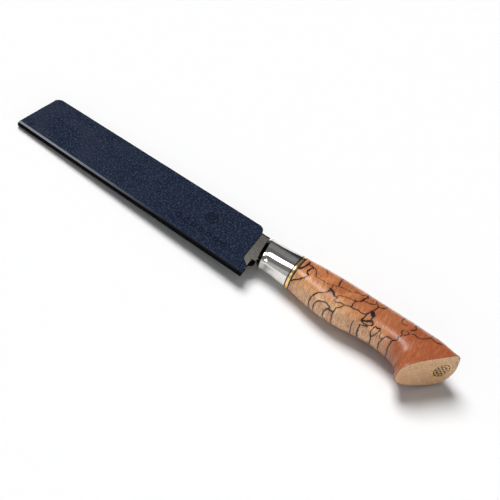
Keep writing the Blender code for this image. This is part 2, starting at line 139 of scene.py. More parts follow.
# The wood's dark zone lines on the side that faces up: width in mm, then points as distance along the
# handle in mm and angle in degrees round the section, from the spine (0) over the side to the belly (180).
ZONE_LINES = (
    (1.0, ((28.4, 64), (28.7, 78), (28.1, 88), (27.0, 100), (25.6, 106))),
    (0.6, ((29, 78), (33, 80), (32.2, 88), (31.7, 101), (33.4, 105), (32.6, 118), (30, 135), (27.5, 147),
           (25.6, 158))),
    (1.0, ((32.2, 88), (31.6, 96), (31.8, 103), (33.2, 105))),
    (0.4, ((34.4, 80), (36.6, 88), (38, 97), (42, 98.5), (44, 97), (46, 98.5), (49, 96), (52.5, 91.5),
           (55.5, 88.5), (59.5, 85.5), (63, 84), (66, 74.5), (69.5, 73))),
    (0.6, ((54.2, 88.5), (53.2, 80), (52.9, 66), (52.3, 45), (51.2, 20), (50, 0))),
    (0.9, ((72.8, 62), (73.9, 68), (73, 77), (72.4, 86), (72, 91))),
    (0.5, ((73.8, 64), (71, 66), (70.5, 72), (69.5, 74))),
    (0.5, ((72.4, 87), (76, 84.5), (78.6, 81), (80.5, 74))),
    (0.55, ((79.2, 45), (79.8, 62), (81.8, 73), (84, 75.5), (86.2, 71), (87, 58), (87, 40), (85.6, 18),
            (83, 0))),
    (0.7, ((82.2, 74), (83.2, 82), (82.6, 93), (83.6, 104))),
    (1.7, ((82.4, 95), (83.4, 99.5), (84.6, 107))),
    (1.2, ((81.6, 99), (83, 104), (84.8, 108.5))),
    (0.7, ((84.8, 108), (84.6, 116), (86.4, 121), (87.4, 127), (87, 134))),
    (0.6, ((81.6, 101), (80.4, 110), (80, 124), (79.4, 137))),
    (0.7, ((86, 121), (84, 127), (81.6, 132), (79.6, 137))),
    (0.5, ((85, 119), (82.5, 129), (80.5, 139), (85, 138), (87, 133))),
    (0.6, ((85, 143), (82, 146), (80, 151))),
    (0.8, ((80, 149), (80.3, 160), (80.6, 172), (80.8, 180))),
    (0.5, ((50.8, 94), (51.2, 99), (50.4, 104))),
    (1.1, ((51, 104), (53.4, 106), (55, 111), (56.4, 114.5))),
    (0.55, ((56, 114.5), (58, 114.5), (57.6, 123), (59.5, 124.5), (62, 120.8), (65, 119.6), (67.5, 116.5),
            (71, 116), (74.6, 113.6), (76, 116), (78.6, 114.5), (80.4, 107))),
    (0.45, ((57.8, 114), (57.8, 108), (62, 101.5), (66, 98.5), (69.4, 96), (71.2, 93), (72, 90))),
    (0.6, ((69.4, 96), (68.8, 106), (69.2, 112), (68.6, 117))),
    (0.55, ((65, 119.6), (64, 126), (63.2, 132), (61.4, 139), (61.2, 150), (61.2, 164), (62, 180))),
    (0.8, ((51.8, 105), (50.6, 113), (48.6, 123), (45.6, 132), (44.2, 144), (43.3, 156), (43.2, 180))),
    (0.6, ((47.3, 180), (47.3, 165), (48.6, 152), (51, 145), (54, 142), (56.6, 145), (57.4, 149))),
    (0.6, ((55.2, 180), (55.5, 165), (56.6, 156), (59, 153), (60.8, 154.5))),
    (0.5, ((75.4, 147), (75.2, 160), (75.9, 180))),
    (0.55, ((91, 180), (90.4, 166), (88.8, 152), (88.9, 139), (90, 129.5), (91.6, 131), (93.2, 126.5),
            (93.6, 134), (92.6, 150), (90.6, 164))),
    (0.4, ((95, 135), (95.6, 145), (97, 151), (98.6, 146), (99, 141))),
    (0.55, ((98.2, 180), (97.8, 170), (98.7, 150), (99.2, 140), (101.4, 132.5), (104, 131))),
    (0.65, ((107, 180), (105.7, 163), (105.5, 148), (105.3, 134), (106.8, 129), (107.6, 121), (106.4, 113))),
    (0.5, ((107.6, 112), (107.6, 104), (106, 100), (105.4, 94), (107.6, 90), (109.6, 91), (109.8, 96),
           (108.4, 103))),
    (0.5, ((109.8, 92), (112.5, 87), (115.6, 88.5), (118.2, 85), (119.3, 75), (119, 60), (117.8, 42),
           (116, 20), (114, 0))),
    (0.6, ((119.4, 67), (122, 72), (124.8, 74.5), (126.8, 66), (127.6, 50), (125.5, 25), (121, 0))),
    (0.5, ((98, 0), (99.6, 30), (100, 60), (100.4, 74), (102.4, 79), (104.6, 76))),
    (0.6, ((106.4, 0), (107.6, 30), (107.8, 55), (109.6, 66), (110.2, 76), (108.8, 83))),
    (0.4, ((39, 0), (40.4, 32), (41, 60), (43, 72))),
    (0.4, ((69, 0), (71, 34), (73.4, 62))),
)
LINE_STEP = 0.2 * MM            # between the samples of a zone line
LINE_SWELL = 1.4                # all the widths above are multiplied by this
LINE_WAVER = 0.28 * MM          # how far a line strays to either side
LINE_SEED = 1                   # without it, the waver would be another one in every session
LINE_VARIATION = 0.45           # how much its width varies
LINE_DRIFT = 3.0                # mm: on the far side the lines lie this much nearer the butt
LINE_REACH = 4.0                # mm: further away than this the wood doesn't know of a line

# ---- mesh resolution ----------------------------------------------------------------------------------
HANDLE_ROWS = 280
HANDLE_COLUMNS = 200
BOLSTER_COLUMNS = 160
BOLSTER_ROWS = 40
RING_COLUMNS = 120
BLADE_ROWS = 150


# ---- where the knife lies -----------------------------------------------------------------------------
def knife_matrix():
    """From the knife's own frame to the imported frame, by the guard's slide and the brass ring's place."""
    slide = Vector(frame["joints"][0]["axis"])
    tilt = atan2(-slide.z, -slide.x)
    low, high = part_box("spacer_brass")
    ring_x = BOLSTER_END + LINER + (BRASS - GLUE_GAP) / 2
    turn = Matrix.Rotation(-tilt, 4, "Y")
    return Matrix.Translation((low + high) / 2) @ turn @ Matrix.Translation((-ring_x, 0, 0))


KNIFE = knife_matrix()


# ---- mesh tools ---------------------------------------------------------------------------------------
def piece(name, vertices, faces, sharp=35):
    """A new object in the knife's frame, shaded smooth except at edges sharper than that many degrees."""
    mesh = bpy.data.meshes.new(name)
    mesh.from_pydata(vertices, [], faces)
    bm = bmesh.new()
    bm.from_mesh(mesh)
    bmesh.ops.recalc_face_normals(bm, faces=bm.faces)
    bm.to_mesh(mesh)
    bm.free()
    mesh.shade_smooth()
    mesh.set_sharp_from_angle(angle=radians(sharp))
    item = bpy.data.objects.new(name, mesh)
    bpy.context.scene.collection.objects.link(item)
    item.matrix_world = KNIFE
    return item


def skin(loops, caps=True):
    """Vertices and faces through loops of equally many points."""
    count = len(loops[0])
    vertices = [point for loop in loops for point in loop]
    faces = []
    for row in range(len(loops) - 1):
        a, b = row * count, (row + 1) * count
        faces += [(a + i, a + (i + 1) % count, b + (i + 1) % count, b + i) for i in range(count)]
    if caps:
        last = (len(loops) - 1) * count
        faces.append(tuple(range(count))[::-1])
        faces.append(tuple(range(last, last + count)))
    return vertices, faces


def prism(name, outline, low, high):
    """A flat outline in XY, between two heights."""
    loops = [[Vector((p.x, p.y, z)) for p in outline] for z in (low, high)]
    return piece(name, *skin(loops))


def cut(target, cutter, operation="DIFFERENCE"):
    """Applies a boolean at once and removes the cutter."""
    modifier = target.modifiers.new("cut", "BOOLEAN")
    modifier.operation = operation
    modifier.object = cutter
    apply_modifiers(target)
    bpy.data.objects.remove(cutter, do_unlink=True)


def apply_modifiers(item):
    """Bakes an object's modifiers into its mesh."""
    bpy.context.view_layer.update()
    evaluated = item.evaluated_get(bpy.context.evaluated_depsgraph_get())
    mesh = bpy.data.meshes.new_from_object(evaluated)
    item.modifiers.clear()
    item.data = mesh


def soften(item, width, angle=40, segments=2):
    """Rounds the sharp edges and keeps the flats flat."""
    bevel = item.modifiers.new("bevel", "BEVEL")
    bevel.width = width
    bevel.segments = segments
    bevel.limit_method = "ANGLE"
    bevel.angle_limit = radians(angle)
    item.modifiers.new("flats", "WEIGHTED_NORMAL")
    apply_modifiers(item)


def dress(item, body, nodes, slot, *materials):
    """Gives a piece its materials, its CAD body and the nodes it stands for."""
    item.data.transform(item.matrix_world)
    item.matrix_world = Matrix.Identity(4)
    for surface in materials:
        item.data.materials.append(surface)
    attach(item, body)
    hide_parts(*nodes)


def arc(center, radius, start, end, steps):
    """Points of an arc, angles in degrees."""
    angles = [radians(start + (end - start) * i / steps) for i in range(steps + 1)]
    return [center + radius * Vector((cos(a), sin(a))) for a in angles]


def blend(stations, distance):
    """Values at a distance along stations whose first entry is the distance (Catmull-Rom)."""
    last = len(stations) - 2
    k = max(i for i in range(last + 1) if i == 0 or stations[i][0] <= distance)
    p0, p1, p2, p3 = (stations[min(max(i, 0), last + 1)] for i in (k - 1, k, k + 1, k + 2))
    t = (distance - p1[0]) / (p2[0] - p1[0])
    values = []
    for a, b, c, d in zip(p0[1:], p1[1:], p2[1:], p3[1:]):
        values.append(0.5 * (2 * b + (c - a) * t + (2 * a - 5 * b + 4 * c - d) * t ** 2
                             + (3 * b - a - 3 * c + d) * t ** 3))
    return values


def smooth(low, high, value):
    """A smooth step from 0 at low to 1 at high."""
    t = min(max((value - low) / (high - low), 0.0), 1.0)
    return t * t * (3 - 2 * t)


# ---- handle -------------------------------------------------------------------------------------------
def egg_point(top, bottom, half, widest, fullness, angle):
    """A point of a rounded section: four quarter ovals that meet at its widest line, top and bottom."""
    c, s = cos(angle), sin(angle)
    power = fullness[(0 if s >= 0 else 2) + (0 if c >= 0 else 1)]
    reach = top - widest if c >= 0 else widest - bottom
    y = widest + reach * (1 if c >= 0 else -1) * abs(c) ** (2 / power)
    z = half * (1 if s >= 0 else -1) * abs(s) ** (2 / power)
    return y, z


def handle_point(distance, angle):
    """A point of the handle's surface: distance in mm, angle from the spine in radians."""
    top, bottom, half, widest, slant = blend(HANDLE_STATIONS, distance)
    share = smooth(*HOOK, distance)
    fullness = [a + (b - a) * share for a, b in zip(RING_FULLNESS, BUTT_FULLNESS)]
    y, z = egg_point(top * MM, bottom * MM, half * MM, widest * MM, fullness, angle)
    return Vector((distance * MM + (y - TANG_DROP) * slant, y, z))


def handle_loop(distance):
    return [handle_point(distance, 2 * pi * i / HANDLE_COLUMNS) for i in range(HANDLE_COLUMNS)]


def seat_loop(depth):
    """The medallion's seat, with one point towards each point of the butt's outline."""
    points = []
    for p in handle_loop(HANDLE_STATIONS[-1][0]):
        out = p - BUTT_CENTRE
        out -= BUTT_NORMAL * out.dot(BUTT_NORMAL)
        points.append(BUTT_CENTRE + out.normalized() * (MEDALLION_RADIUS + GLUE_GAP) - BUTT_NORMAL * depth)
    return points


def handle_mesh():
    """The handle with a softened butt edge and the medallion's seat; the butt's faces come last."""
    end_grain_slot, bore_slot = 1, 2
    first, last = HANDLE_STATIONS[0][0], HANDLE_STATIONS[-1][0]
    rounding = 0.35             # mm, at the butt's edge
    loops = [handle_loop(first + (last - rounding - first) * i / HANDLE_ROWS) for i in range(HANDLE_ROWS + 1)]
    side, corner = loops[-1], handle_loop(last)
    inset = [p + (BUTT_CENTRE - p).normalized() * rounding * MM for p in corner]
    for step in (0.25, 0.5, 0.75, 1.0):
        loops.append([a * (1 - step) ** 2 + b * 2 * step * (1 - step) + c * step ** 2
                      for a, b, c in zip(side, corner, inset)])
    face_row = len(loops) - 1
    seat = seat_loop(0.0)
    for step in (0.02, 0.2, 0.4, 0.6, 0.8, 0.97, 1.0):
        loops.append([a + (b - a) * step for a, b in zip(inset, seat)])
    wall_row = len(loops) - 1
    loops.append(seat_loop(MEDALLION_DEPTH + GLUE_GAP))
    vertices, faces = skin(loops)
    item = piece("wood_handle", vertices, faces)
    for face in item.data.polygons:
        row = min(face.vertices) // HANDLE_COLUMNS
        if row >= face_row and len(face.vertices) == 4:
            face.material_index = bore_slot if row >= wall_row else end_grain_slot
    return item


def zone_line_samples():
    """Points along every zone line with their half widths in mm, on both sides of the handle."""
    noise.seed_set(LINE_SEED)
    samples = []
    for width, points in ZONE_LINES:
        stations = [(k, *p) for k, p in enumerate(points)]
        for k in range(len(points) - 1):
            a, b = (handle_point(p[0], radians(p[1])) for p in (points[k], points[k + 1]))
            steps = max(2, round((b - a).length / LINE_STEP))
            for i in range(steps):
                distance, angle = blend(stations, k + i / steps)
                distance = min(max(distance, HANDLE_STATIONS[0][0]), HANDLE_STATIONS[-1][0])
                place = handle_point(distance, radians(angle))
                jitter = noise.noise_vector(place * 700) * LINE_WAVER
                swell = 1 + LINE_VARIATION * noise.noise(place * 260)
                drift = LINE_DRIFT * sin(radians(min(max(angle, 0), 180)))
                far = handle_point(min(distance + drift, HANDLE_STATIONS[-1][0]), radians(-angle))
                half = LINE_SWELL * width * swell / 2
                samples += [(place + jitter, half), (far + jitter, half)]
    return samples


def mark_zone_lines(item):
    """Stores on every vertex how far outside the nearest zone line it is, in mm."""
    samples = zone_line_samples()
    tree = kdtree.KDTree(len(samples))
    for i, (place, half) in enumerate(samples):
        tree.insert(place, i)
    tree.balance()
    values = []
    for vertex in item.data.vertices:
        near, i, distance = tree.find(vertex.co)
        values.append(min(distance / MM - samples[i][1], LINE_REACH))
    attribute = item.data.attributes.new("zone_line", "FLOAT", "POINT")
    attribute.data.foreach_set("value", values)


# ---- bolster and ring ---------------------------------------------------------------------------------
def facet_path(corners, parts):
    """A closed path through corners, as a function of 0 to 1, with so many equal parts to each side."""
    total = sum(parts)

    def at(share):
        place = (share % 1.0) * total
        for k, count in enumerate(parts):
            if place <= count:
                a, b = corners[k], corners[(k + 1) % len(corners)]
                return a + (b - a) * (place / count)
            place -= count
        return corners[0]
    return at


def bolster_mesh():
    """Facets at the shoulder that run out into the handle's round section; the corners are eased."""
    corners = [Vector(p) * MM for p in BOLSTER_FRONT]
    low = corners[-1].x
    corners += [Vector((p.x, -p.y)) for p in corners[-2:0:-1]]
    front = facet_path(corners, BOLSTER_PARTS + BOLSTER_PARTS[::-1])
    ease = 0.002                # the corners are averaged over steps this long, as a share of the way round
    loops = []
    for step in range(-2, BOLSTER_ROWS + 1):
        share = max(0.0, step / BOLSTER_ROWS)
        x = SHOULDER_X + (BOLSTER_END - GLUE_GAP - SHOULDER_X) * share
        flare = share ** 1.15
        bevel = BOLSTER_BEVEL * (1 - smooth(0.0, 0.12, share))
        scale = {-2: BOLSTER_NOSE, -1: 0.985}.get(step, 1.0)
        x += {-2: 0.0, -1: bevel * 0.94}.get(step, bevel)
        ring = []
        for i in range(BOLSTER_COLUMNS):
            t = i / BOLSTER_COLUMNS
            eased = [front(t + d * ease) for d in (-2, -1, 0, 1, 2)]
            a = sum(eased, Vector((0.0, 0.0))) / len(eased)
            b = Vector(egg_point(RING_HALF.x, -RING_HALF.x, RING_HALF.y, 0.0, RING_FULLNESS, 2 * pi * t))
            p = a * scale * (1 - flare) + b * flare
            if p.x < 0:
                p.x -= CHIN * (p.x / low) * (1 - smooth(0.0, 0.3, share))
            lean = -SHOULDER_SLANT * p.x * (1 - share)
            ring.append(Vector((x + lean, p.x, p.y)))
        loops.append(ring)
    return piece("steel_bolster", *skin(loops), sharp=24)


def ring_mesh(name, start, thickness):
    """One spacer, with the edges just broken."""
    ease = 0.07 * MM
    end = start + thickness - GLUE_GAP
    loops = []
    for x, inset in ((start, ease), (start + ease * 0.3, ease * 0.3), (start + ease, 0.0),
                     (end - ease, 0.0), (end - ease * 0.3, ease * 0.3), (end, ease)):
        half = RING_HALF - Vector((inset, inset))
        angles = [2 * pi * i / RING_COLUMNS for i in range(RING_COLUMNS)]
        points = [egg_point(half.x, -half.x, half.y, 0.0, RING_FULLNESS, angle) for angle in angles]
        loops.append([Vector((x, y, z)) for y, z in points])
    return piece(name, *skin(loops), sharp=60)


# ---- blade --------------------------------------------------------------------------------------------
def edge_height(x):
    """Height of the cutting edge, or of the choil's underside behind the heel."""
    if x > HEEL_X:
        return CHOIL_Y + CHOIL_RISE * smooth(HEEL_X, HEEL_X + CHOIL_LENGTH, x)
    share = (x - FOLD_HEEL.x) / (FOLD_TIP.x - FOLD_HEEL.x)
    along = (HEEL_X - x) / (HEEL_X - POINT_X)
    fold = FOLD_HEEL.y + (FOLD_TIP.y - FOLD_HEEL.y) * share + LEAF
    return fold + EDGE_PLAY + TIP_RISE * along ** 3.2


def blade_loop(x):
    """The blade's section at one station: eased spine, flat, bevel and edge."""
    share = min(max((HEEL_X - x) / (HEEL_X - POINT_X), 0.0), 1.0)
    edge = edge_height(x)
    spine = SPINE_Y - SPINE_DROP * smooth(0.55, 1.25, share)
    half = BLADE_HALF * (1.0 - POINT_TAPER * share)
    shoulder = spine - SPINE_EASE
    top = shoulder - 0.5 * MM
    bevel = top - (top + BEVEL_HEIGHT) * smooth(*PLUNGE, x)
    thin = EDGE_HALF
    if x > HEEL_X:
        bevel = edge + 0.5 * MM
        thin = BLADE_HALF * 0.45
    if share > 0.999:
        middle = (edge + spine) / 2
        spine, shoulder, bevel, edge = (middle + d * MM for d in (0.4, 0.2, -0.1, -0.3))
        half = EDGE_HALF
    bevel = min(max(bevel, edge + 0.2 * MM), shoulder - 0.1 * MM)
    drop = spine - shoulder
    right = [(spine, half * 0.3), (spine - drop * 0.12, half * 0.62), (spine - drop * 0.45, half * 0.9),
             (shoulder, half), (bevel, half), (edge + (bevel - edge) * 0.08, thin + (half - thin) * 0.08),
             (edge, thin * 0.6)]
    left = [(y, -z) for y, z in reversed(right)]
    return [Vector((x, y, z)) for y, z in right + left]


def blade_mesh():
    """The blade and its ricasso, up to the bolster's slanted front; the hidden tang is left to the CAD."""
    stations = [POINT_X + (HEEL_X - POINT_X) * i / BLADE_ROWS for i in range(BLADE_ROWS + 1)]
    stations += [HEEL_X + d * MM for d in (0.01, 0.2, 0.4, 0.7, 1.0, 1.3, 1.64)]
    run_in = -6.0 * MM          # from here on the stations lean, to end along the bolster's front
    loops = []
    for x in stations:
        loop = blade_loop(x)
        if x > run_in:
            share = (x - run_in) / (stations[-1] - run_in)
            for p in loop:
                wall = SHOULDER_X - GLUE_GAP - SHOULDER_SLANT * p.y
                p.x = run_in + (wall - run_in) * share
        loops.append(loop)
    return piece("steel_blade", *skin(loops), sharp=30)


# ---- guard --------------------------------------------------------------------------------------------
def guard_outline():
    """Plan view of the folded guard, from the folded side's tip, against the clock."""
    tip_high = Vector((GUARD_SPINE_X[0], GUARD_SPINE_Y))
    heel_high = Vector((GUARD_SPINE_X[1], GUARD_SPINE_Y))
    across = tip_high - FOLD_TIP
    lean = degrees(atan2(across.x, across.y))
    r = GUARD_CORNER
    points = [FOLD_TIP, FOLD_HEEL, Vector((FOLD_HEEL.x - TAB_DRAFT, TAB_STEP[1])),
              Vector((heel_high.x + TAB_STEP_OUT, TAB_STEP[0]))]
    points += arc(heel_high + Vector((-r, -r)), r, 0, 90, 14)
    points += arc(tip_high + Vector((r, -r)), r, 90, 180 - lean, 14)
    return points


def fold_profile(outer, corner, steps=10):
    """The fold's rounded end in YZ, from the upper leaf's face round to the lower leaf's."""
    offset = LEAF_Z[1] - outer
    high = [Vector((offset, 0.0)) + p for p in arc(Vector((corner, outer - corner)), corner, 90, 180, steps)]
    return high + [Vector((p.x, -p.y)) for p in reversed(high)]


def hollow_cutter(outer, inner):
    """A closed band between two outlines, reaching lightly into the upper leaf."""
    depth = 0.14 * MM
    low, high = LEAF_Z[1] - depth, LEAF_Z[1] + 1.0 * MM
    band = prism("mark", outer, low, high)
    cut(band, prism("mark_hole", inner, low - 1.0 * MM, high + 1.0 * MM))
    return band


def pressed_mark():
    """Cutters for two plain rings and a row of plain frames, near the heel."""
    ring_center = Vector((-43.8, -0.7)) * MM
    row_center = Vector((-44.0, -14.1)) * MM
    pitch = 6.1 * MM
    turn = Matrix.Rotation(atan2(FOLD.y, FOLD.x), 2)

    def circle(radius):
        return arc(ring_center, radius * MM, 0, 350, 35)

    def block(middle, half_width, half_height):
        signs = ((-1, -1), (1, -1), (1, 1), (-1, 1))
        return [middle + turn @ Vector((x * half_width, y * half_height)) * MM for x, y in signs]

    cutters = [hollow_cutter(circle(4.6), circle(3.7)), hollow_cutter(circle(2.4), circle(1.4))]
    for number in range(-3, 4):
        middle = row_center + turn @ Vector((number * pitch, 0.0))
        cutters.append(hollow_cutter(block(middle, 1.7, 2.0), block(middle, 0.9, 1.2)))
    return cutters


def guard_mesh():
    """One sheet folded double: a U-shaped bar along the fold, trimmed to the plan view."""
    pressed_slot, edge_slot = 1, 2
    outside = fold_profile(LEAF_Z[1], FOLD_RADIUS)
    inside = fold_profile(LEAF_Z[0], FOLD_RADIUS - LEAF)
    profile = [Vector((SHEET_WIDTH, LEAF_Z[1]))] + outside + [Vector((SHEET_WIDTH, -LEAF_Z[1]))]
    profile += [Vector((SHEET_WIDTH, -LEAF_Z[0]))] + inside[::-1] + [Vector((SHEET_WIDTH, LEAF_Z[0]))]
    turn = Matrix.Translation((*FOLD_TIP, 0.0)) @ Matrix.Rotation(atan2(FOLD.y, FOLD.x), 4, "Z")
    ends = (-OVERSHOOT, FOLD.length + OVERSHOOT)
    loops = [[turn @ Vector((x, p.x, p.y)) for p in profile] for x in ends]
    item = piece("guard_sheet", *skin(loops))
    cut(item, prism("guard_trim", guard_outline(), -10 * MM, 10 * MM), "INTERSECT")
    for mark in pressed_mark():
        cut(item, mark)
    below_face = LEAF_Z[1] - 0.1 * MM
    for face in item.data.polygons:
        if face.normal.z > 0.9 and LEAF_Z[0] < face.center.z < below_face:
            face.material_index = pressed_slot
    soften(item, 0.11 * MM)
    # The sheet's side faces get the near-black edge material: black core on the cut edges, painted shade on
    # the fold's side.
    for face in item.data.polygons:
        if abs(face.normal.z) < 0.6:
            face.material_index = edge_slot
    return item


# ---- material tools -----------------------------------------------------------------------------------
def rgb(red, green, blue):
    """A display colour of 0 to 255 as linear values."""
    shares = [value / 255 for value in (red, green, blue)]
    return tuple(((c + 0.055) / 1.055) ** 2.4 if c > 10 / 255 else c / 12.92 for c in shares)


class Surface:
    """One material's nodes. Lengths in its patterns are millimetres of the knife's frame."""

    def __init__(self, name, **values):
        self.material = bpy.data.materials.new(name)
        self.material.use_nodes = True
        self.tree = self.material.node_tree
        self.shader = self.tree.nodes["Principled BSDF"]
        for key, value in values.items():
            self.put(self.shader, key.replace("_", " "), value)

    def put(self, node, socket, value):
        """Links or sets one input."""
        if isinstance(value, bpy.types.NodeSocket):
            self.tree.links.new(value, node.inputs[socket])
        elif isinstance(value, tuple) and len(value) == 3 and node.inputs[socket].type == "RGBA":
            node.inputs[socket].default_value = (*value, 1.0)
        else:
            node.inputs[socket].default_value = value

    def node(self, kind, settings=(), **inputs):
        made = self.tree.nodes.new(kind)
        for key, value in dict(settings).items():
            setattr(made, key, value)
        for key, value in inputs.items():
            self.put(made, int(key[1:]) if key[1:].isdigit() else key.replace("_", " "), value)
        return made

    def place(self, stretch=(1.0, 1.0, 1.0), turn=0.0, shift=(0.0, 0.0, 0.0)):
        """The knife's own coordinates in mm, turned about Z and stretched."""
        back = KNIFE.inverted()
        source = self.node("ShaderNodeTexCoord").outputs["Object"]
        place = self.node("ShaderNodeMapping", Vector=source, Rotation=tuple(back.to_euler()),
                          Location=tuple(back.translation / MM), Scale=(1 / MM,) * 3).outputs[0]
        if turn:
            place = self.node("ShaderNodeMapping", Vector=place, Rotation=(0.0, 0.0, turn)).outputs[0]
        if stretch != (1.0, 1.0, 1.0) or any(shift):
            place = self.node("ShaderNodeMapping", Vector=place, Scale=stretch, Location=shift).outputs[0]
        return place

    def noise(self, vector, scale, detail=3.0, roughness=0.5, distortion=0.0):
        made = self.node("ShaderNodeTexNoise", Vector=vector, Scale=scale, Detail=detail, Roughness=roughness,
                         Distortion=distortion)
        return made.outputs["Fac"]

    def math(self, operation, a, b=0.0):
        return self.node("ShaderNodeMath", {"operation": operation}, _0=a, _1=b).outputs[0]

    def fade(self, value, low, high, to_low=0.0, to_high=1.0):
        """A smooth step from to_low at low to to_high at high."""
        made = self.node("ShaderNodeMapRange", {"interpolation_type": "SMOOTHSTEP"}, Value=value)
        for k, number in enumerate((low, high, to_low, to_high), 1):
            self.put(made, k, number)
        return made.outputs[0]

    def mix(self, factor, a, b, mode="MIX"):
        made = self.node("ShaderNodeMix", {"data_type": "RGBA", "blend_type": mode}, _0=factor)
        self.put(made, 6, a)
        self.put(made, 7, b)
        return made.outputs[2]

    def ramp(self, value, *stops):
        made = self.node("ShaderNodeValToRGB", Fac=value)
        elements = made.color_ramp.elements
        while len(elements) < len(stops):
            elements.new(0.5)
        for element, (position, color) in zip(elements, stops):
            element.position = position
            element.color = (*color, 1.0)
        return made.outputs[0]

    def part(self, vector, axis):
        return self.node("ShaderNodeSeparateXYZ", Vector=vector).outputs[axis]

    def inward(self, vector, corner, across):
        """How far a place lies beyond the corner in the direction across, in mm."""
        across = across.to_3d().normalized()
        made = self.node("ShaderNodeVectorMath", {"operation": "DOT_PRODUCT"}, _0=vector, _1=tuple(across))
        return self.math("SUBTRACT", made.outputs["Value"], corner.to_3d().dot(across) / MM)

    def bump(self, height, strength, distance=0.1 * MM):
        made = self.node("ShaderNodeBump", Height=height, Strength=strength, Distance=distance)
        self.put(self.shader, "Normal", made.outputs[0])


# ---- materials ----------------------------------------------------------------------------------------
def wood_color(s, place):
    """Maple's colour: pale by the ring and along the belly, orange in the hook, with fine cross figure; the
    belly's underside is lifted with painted light.
    """
    x, y = s.part(place, 0), s.part(place, 1)
    patches = s.noise(place, 0.06, 2.0)
    before_hook = s.fade(x, 88, 112, 1.0, 0.0)
    belly = s.math("MULTIPLY", s.fade(y, -4, -15.5), before_hook)
    warm = s.math("SUBTRACT", s.fade(x, 26, 92, 0.1, 0.65), s.math("MULTIPLY", belly, 0.7))
    warm = s.math("ADD", warm, s.fade(x, 100, 118, 0.0, 0.4))
    warm = s.math("ADD", warm, s.fade(patches, 0.35, 0.65, -0.06, 0.34))
    base = s.ramp(warm, (0.0, rgb(222, 166, 108)), (0.35, rgb(204, 134, 82)), (0.65, rgb(174, 102, 60)),
                  (1.0, rgb(158, 82, 44)))
    # Painted light: the underside towards the belly faces away from the key and is lifted towards pale cream.
    # This lies on top of the wood's own pale belly.
    pale = s.math("MULTIPLY", s.fade(y, -9, -16, 0.0, 0.6), before_hook)
    base = s.mix(pale, base, rgb(246, 206, 168))
    figure = s.noise(s.place((1.1, 0.12, 0.14), turn=-0.12), 1.0, 5.0, 0.7, 0.6)
    base = s.mix(s.fade(figure, 0.48, 0.72, 0.0, 0.42), base, rgb(216, 168, 124))
    dark = s.noise(s.place((2.2, 0.2, 0.22), turn=-0.2, shift=(7.0, 3.0, 1.0)), 1.0, 5.0, 0.72)
    base = s.mix(s.fade(dark, 0.46, 0.62, 0.0, 0.68), base, rgb(130, 58, 32))
    curl = s.noise(s.place((0.3, 0.05, 0.06), turn=-0.15, shift=(3.0, 0.0, 9.0)), 1.0, 2.0)
    base = s.mix(s.fade(curl, 0.35, 0.65, 0.22, 0.0), base, rgb(165, 92, 56))
    return base


def spalted_wood():
    s = Surface("spalted_maple", Coat_Weight=0.8, Coat_Roughness=0.2, Coat_IOR=1.45, Specular_IOR_Level=0.2)
    place = s.place()
    base = wood_color(s, place)
    outside = s.node("ShaderNodeAttribute", {"attribute_name": "zone_line"}).outputs["Fac"]
    ragged = s.math("ADD", outside, s.fade(s.noise(place, 1.6, 3.0), 0.3, 0.7, -0.13, 0.13))
    stain = s.noise(place, 0.16, 2.0)
    halo = s.math("MULTIPLY", s.fade(ragged, 1.5, 0.0), s.fade(stain, 0.42, 0.62, 0.0, 0.42))
    base = s.mix(halo, base, rgb(120, 70, 44))
    base = s.mix(s.fade(ragged, 0.1, -0.06), base, rgb(26, 8, 6))
    pores = s.noise(place, 2.2, 2.0)
    base = s.mix(s.fade(pores, 0.7, 0.78, 0.0, 0.5), base, rgb(90, 46, 28))
    s.put(s.shader, "Base Color", base)
    s.put(s.shader, "Roughness", s.fade(pores, 0.3, 0.7, 0.32, 0.5))
    s.bump(s.noise(s.place((2.0, 0.2, 0.2), turn=-0.14), 1.0, 3.0), 0.08, 0.02 * MM)
    return s.material


def end_grain():
    """The butt's flat face: sanded end grain with two thin growth lines near the spine; its colours are
    lifted as painted light.
    """
    s = Surface("end_grain", Coat_Weight=0.25, Coat_Roughness=0.35, Specular_IOR_Level=0.3)
    place = s.place()
    up = s.inward(place, BUTT_CENTRE, BUTT_UP)
    mottle = s.noise(place, 0.9, 4.0, 0.62, 0.9)
    # Painted light: these colours are lighter than the end grain's own, to make up for the butt facing away
    # from the key light.
    base = s.ramp(mottle, (0.3, rgb(186, 136, 98)), (0.47, rgb(232, 182, 136)), (0.6, rgb(246, 206, 160)),
                  (0.75, rgb(252, 226, 188)))
    patches = s.noise(place, 0.09, 2.0)
    base = s.mix(s.fade(patches, 0.4, 0.65, 0.0, 0.35), base, rgb(212, 158, 114))
    bent = s.math("ADD", up, s.fade(s.noise(place, 0.22, 2.0), 0.2, 0.8, -1.4, 1.4))
    for height, strength in ((8.6, 0.55), (10.6, 0.8)):
        off_line = s.math("ABSOLUTE", s.math("SUBTRACT", bent, height))
        base = s.mix(s.fade(off_line, 0.42, 0.1, 0.0, strength), base, rgb(96, 84, 60))
    s.put(s.shader, "Base Color", base)
    s.put(s.shader, "Roughness", s.fade(mottle, 0.3, 0.7, 0.42, 0.6))
    s.bump(mottle, 0.25, 0.05 * MM)
    return s.material


